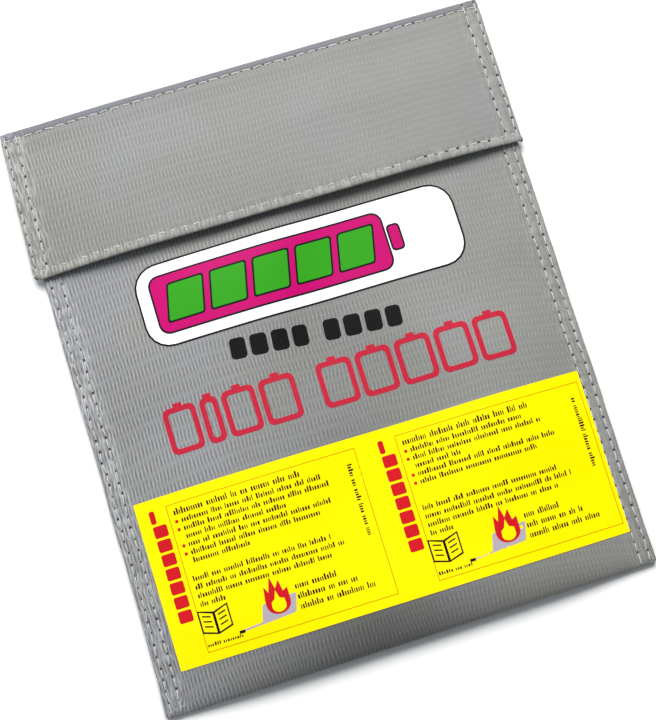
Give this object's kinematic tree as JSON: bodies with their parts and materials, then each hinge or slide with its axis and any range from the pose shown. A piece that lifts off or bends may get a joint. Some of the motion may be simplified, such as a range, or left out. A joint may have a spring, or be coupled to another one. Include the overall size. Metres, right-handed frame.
{
  "type": "fire-resistant battery storage bag",
  "caption": "Flat rectangular pouch of coated glass cloth with side seams and a fold-over flap on a hook and loop closure, for storing lithium polymer battery packs.",
  "frame": {"origin": "middle of the bag's outline, on the surface that its back lies on", "axes": "+Z out of the front panel, +Y from the bottom fold to the fold the flap turns on, +X to the right as the front is looked at"},
  "size_m": [0.183, 0.216, 0.0143],
  "materials": {
    "coated_glass_cloth": "satin coated weave",
    "lining_cloth": "matte woven",
    "sewing_thread": "satin",
    "closure_loops": "napped",
    "closure_hooks": "bristled",
    "printed_label": "printed film",
    "printed_badge": "printed film"
  },
  "bodies": {
    "pouch": {"outer_shell": "coated_glass_cloth", "inner_lining": "lining_cloth", "left_seam_allowance": "coated_glass_cloth", "right_seam_allowance": "coated_glass_cloth", "mouth_hem": "coated_glass_cloth", "mouth_hem_stitching": "sewing_thread", "left_outer_stitching": "sewing_thread", "left_inner_stitching": "sewing_thread", "right_outer_stitching": "sewing_thread", "right_inner_stitching": "sewing_thread", "loop_strip": "closure_loops", "loop_strip_stitching": "sewing_thread", "label_panel": "printed_label", "badge_film": "printed_badge", "top_fold": "coated_glass_cloth"},
    "flap": {"flap_outer": "coated_glass_cloth", "flap_lining": "lining_cloth", "flap_left_hem": "coated_glass_cloth", "flap_right_hem": "coated_glass_cloth", "flap_front_hem": "coated_glass_cloth", "flap_left_outer_stitching": "sewing_thread", "flap_left_inner_stitching": "sewing_thread", "flap_right_outer_stitching": "sewing_thread", "flap_right_inner_stitching": "sewing_thread", "flap_front_stitching": "sewing_thread", "top_fold_stitching": "sewing_thread", "hook_strip": "closure_hooks", "hook_strip_stitching": "sewing_thread"}
  },
  "joints": [
    {"name": "flap_hinge", "type": "hinge", "parent": "pouch", "child": "flap", "pos_m": [0, 0.108, 0.0046], "axis": [-1, 0, 0], "range_deg": [0, 170], "deforming": ["top_fold"]}
  ]
}
